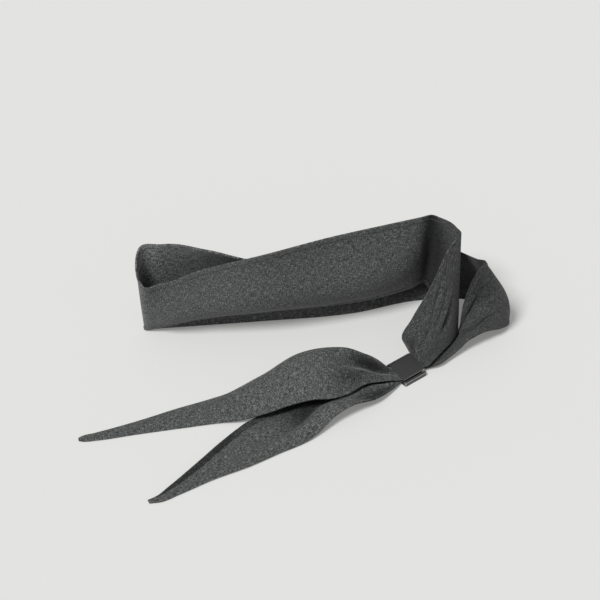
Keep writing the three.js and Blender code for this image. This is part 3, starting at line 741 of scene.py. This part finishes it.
# %% Cloth material
def woven_shade(tree, flat, over):
    """Warp or weft by which lies on top, plus slubs and flecks. Gives the shade and the flecks."""
    pick = tree.nodes.new("ShaderNodeMix")
    pick.data_type = "FLOAT"
    pick.clamp_factor = True
    tree.links.new(node_math(tree, "MULTIPLY_ADD", over, OVER_CONTRAST, 0.5), pick.inputs["Factor"])
    tree.links.new(node_noise(tree, flat, FIBRE_LENGTH, YARN_WIDTH, 3.0), pick.inputs[2])
    tree.links.new(node_noise(tree, flat, YARN_WIDTH, FIBRE_LENGTH, 11.0), pick.inputs[3])
    fleck = node_noise(tree, flat, FLECK, FLECK, 27.0, detail=2.0)
    slubs = node_math(tree, "ADD", node_noise(tree, flat, SLUB_LENGTH, SLUB_WIDTH, 41.0),
                      node_noise(tree, flat, SLUB_WIDTH, SLUB_LENGTH, 57.0))
    slubs = node_math(tree, "MULTIPLY", slubs, SLUB_SHARE)
    shade = node_math(tree, "MULTIPLY_ADD", pick.outputs[0], YARN_SHARE, slubs)
    shade = node_math(tree, "SUBTRACT", shade, SHADE_DOWN)
    return node_math(tree, "MULTIPLY_ADD", fleck, FLECK_SHARE, shade), fleck


def woven_cloth(name):
    """Melange plain weave in nodes, on the UV map named cloth, scaled by 1 - painted shade
    (painted light where that is below 0).
    """
    material, shader = plain_material(name, MID_FIBRE, CLOTH_ROUGHNESS)
    tree = material.node_tree
    add, link = tree.nodes.new, tree.links.new
    uv = add("ShaderNodeUVMap")
    uv.uv_map = "cloth"
    apart = add("ShaderNodeSeparateXYZ")
    link(uv.outputs["UV"], apart.inputs["Vector"])
    turn = float(np.pi / WEAVE_PITCH)
    turns = [node_math(tree, "MULTIPLY", apart.outputs[axis], turn) for axis in "XY"]
    sines = [node_math(tree, "SINE", angle) for angle in turns]
    over = node_math(tree, "MULTIPLY", *sines)
    shade, fleck = woven_shade(tree, uv.outputs["UV"], over)
    colour = node_ramp(tree, shade, RAMP_ENDS, (DARK_FIBRE, MID_FIBRE, LIGHT_FIBRE))
    # Painted shade kept on the cloth darkens the weave's colour; below 0 it is painted light and lightens
    # it.
    painted_shade_and_light = add("ShaderNodeAttribute")
    painted_shade_and_light.attribute_name = "painted_shade_and_light"
    painted = add("ShaderNodeVectorMath")
    painted.operation = "SCALE"
    link(colour, painted.inputs[0])
    link(node_math(tree, "SUBTRACT", 1.0, painted_shade_and_light.outputs["Fac"]), painted.inputs["Scale"])
    link(painted.outputs["Vector"], shader.inputs["Base Color"])
    relief = add("ShaderNodeBump")
    relief.inputs["Strength"].default_value = RELIEF_STRENGTH
    relief.inputs["Distance"].default_value = RELIEF_DEPTH
    flecks_up = node_math(tree, "MULTIPLY", fleck, RELIEF_FLECK)
    link(node_math(tree, "MULTIPLY_ADD", over, RELIEF_OVER, flecks_up), relief.inputs["Height"])
    link(relief.outputs["Normal"], shader.inputs["Normal"])
    shader.inputs["Specular IOR Level"].default_value = CLOTH_SHINE
    shader.inputs["Sheen Weight"].default_value = SHEEN
    shader.inputs["Sheen Roughness"].default_value = SHEEN_ROUGHNESS
    print(material.name, "nodes:", len(tree.nodes))
    return material


cloth = woven_cloth("melange_cloth")
for piece in (neck_cloth, upper_cloth, lower_cloth):
    piece.data.materials.append(cloth)

# %% Thread material
MOTTLE_ENDS = (0.3, 0.7)
MOTTLE_DETAIL = 3.0
THREAD_DARK, THREAD_LIGHT = (0.045, 0.047, 0.046, 1.0), (0.110, 0.114, 0.112, 1.0)
THREAD_GRAIN = 2.0 * MM
THREAD_ROUGHNESS = (0.7, 0.9)


def mottled(name, dark, light, grain, rough):
    """A finish that wanders between two colours and two roughnesses, by noise of one grain size.
    Gives the material and its shader."""
    material, shader = plain_material(name, dark, rough[0])
    tree = material.node_tree
    place = tree.nodes.new("ShaderNodeTexCoord")
    noise = tree.nodes.new("ShaderNodeTexNoise")
    noise.inputs["Scale"].default_value = 1 / grain
    noise.inputs["Detail"].default_value = MOTTLE_DETAIL
    tree.links.new(place.outputs["Object"], noise.inputs["Vector"])
    colour = node_ramp(tree, noise.outputs["Fac"], MOTTLE_ENDS, (dark, light))
    tree.links.new(colour, shader.inputs["Base Color"])
    spread = tree.nodes.new("ShaderNodeMapRange")
    spread.inputs["To Min"].default_value = rough[0]
    spread.inputs["To Max"].default_value = rough[1]
    tree.links.new(noise.outputs["Fac"], spread.inputs["Value"])
    tree.links.new(spread.outputs["Result"], shader.inputs["Roughness"])
    return material, shader


thread = mottled("sewing_thread", THREAD_DARK, THREAD_LIGHT, THREAD_GRAIN, THREAD_ROUGHNESS)[0]
for piece in (neck_stitches, upper_stitches, lower_stitches):
    piece.data.materials.append(thread)
print("materials so far:", [cloth.name, thread.name])

# %% [markdown]
# ## The slide
# The slide is a sheet of metal, flat below, rolled over at the far side and sloping down to a cut
# edge at the near side, with a low bright bar below that edge. A profile carried along a straight
# path gives both pieces, and a small bevel catches light along their edges.

# %% Slide profiles
SLIDE_LENGTH = 22.0
SLIDE_WALL = 1.0
SLIDE_NEAR = -10.75
SLIDE_NEAR_TOP = 6.0
SLIDE_SLOPE = np.radians(13.3)
BEND_CENTRE = 5.75
BEND_RADIUS = 5.0
LIP_WIDTH = 2.65
LIP_HEIGHT = 4.0
JOINT_GAP = 0.3
BEND_STEPS = 29
SHEET_BEVEL, BAR_BEVEL = 0.18, 0.4
BEVEL_SEGMENTS = 3
SHARP_ANGLE = np.radians(40)


def bend(radius):
    """Points (across, up) round the bend, from its foot over to where the sloping top begins."""
    angle = np.linspace(-np.pi / 2, np.pi / 2 + SLIDE_SLOPE, BEND_STEPS)
    return np.stack([BEND_CENTRE + radius * np.cos(angle), BEND_RADIUS + radius * np.sin(angle)], 1)


def cover_outline():
    """Closed outline of (across, up): outer arc, sloping top, cut edge, and back inside."""
    start = SLIDE_NEAR + JOINT_GAP
    cut_edge = [(SLIDE_NEAR, SLIDE_NEAR_TOP), (SLIDE_NEAR, SLIDE_NEAR_TOP - SLIDE_WALL)]
    return np.vstack([[(start, 0)], bend(BEND_RADIUS), cut_edge,
                      bend(BEND_RADIUS - SLIDE_WALL)[::-1], [(start, SLIDE_WALL)]])


def lip_outline():
    """Closed outline of the bar below the cut edge."""
    outer = SLIDE_NEAR - LIP_WIDTH
    return np.array([(outer, 0), (SLIDE_NEAR, 0), (SLIDE_NEAR, LIP_HEIGHT), (outer, LIP_HEIGHT)])


def carried_profile(name, outline, bevel):
    """The outline carried along the slide's length: two rings of points, walls between them and
    a face over each end, with all edges rounded by a bevel."""
    count = len(outline)
    ring = ACROSS * outline[:, :1] + UP * outline[:, 1:]
    vertices = np.vstack([ring - ALONG * SLIDE_LENGTH / 2, ring + ALONG * SLIDE_LENGTH / 2]) * MM
    i = np.arange(count)
    j = (i + 1) % count
    walls = np.stack([i, j, j + count, i + count], 1).tolist()
    ends = [list(range(count))[::-1], list(range(count, 2 * count))]
    mesh = bpy.data.meshes.new(name)
    mesh.from_pydata(vertices, [], walls + ends)
    mesh.shade_smooth()
    piece = new_piece(name, mesh)
    rounding = piece.modifiers.new("rounding", "BEVEL")
    rounding.width = bevel * MM
    rounding.segments = BEVEL_SEGMENTS
    rounding.limit_method = "ANGLE"
    rounding.angle_limit = SHARP_ANGLE
    rounding.harden_normals = True
    print(name, "points round its profile:", count)
    return piece


slide_sheet = carried_profile("slide_sheet", cover_outline(), SHEET_BEVEL)
slide_bar = carried_profile("slide_bar", lip_outline(), BAR_BEVEL)

# %% Slide materials
COAT_DARK, COAT_LIGHT = (0.036, 0.036, 0.037, 1.0), (0.044, 0.044, 0.045, 1.0)
COAT_GRAIN, COAT_ROUGHNESS = 1.5 * MM, (0.36, 0.46)
COAT_GLOSS = {"Coat Weight": 0.25, "Coat Roughness": 0.3}
BARE_DARK, BARE_LIGHT = (0.50, 0.50, 0.49, 1.0), (0.64, 0.64, 0.62, 1.0)
BARE_GRAIN, BARE_ROUGHNESS = 1.0 * MM, (0.24, 0.36)
CUT_EDGE_FACE = 1 + BEND_STEPS

coat, coat_shader = mottled("black_coating", COAT_DARK, COAT_LIGHT, COAT_GRAIN, COAT_ROUGHNESS)
for name, value in COAT_GLOSS.items():
    coat_shader.inputs[name].default_value = value
bare, bare_shader = mottled("bright_metal", BARE_DARK, BARE_LIGHT, BARE_GRAIN, BARE_ROUGHNESS)
bare_shader.inputs["Metallic"].default_value = 1.0
for piece in (slide_sheet, slide_bar):
    piece.data.materials.append(coat)
    piece.data.materials.append(bare)
slide_sheet.data.polygons[CUT_EDGE_FACE].material_index = 1
slide_bar.modifiers["rounding"].material = 1
print("the cut edge is face", CUT_EDGE_FACE, "of", len(slide_sheet.data.polygons))

for piece, node in ((neck_cloth, "neck_loop"), (upper_cloth, "tail_upper"),
                    (lower_cloth, "tail_lower"), (slide_sheet, "slide_cover"), (slide_bar, "slide_lip")):
    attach(piece, "root")
    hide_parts(node)
for piece in (neck_stitches, upper_stitches, lower_stitches):
    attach(piece, "root")
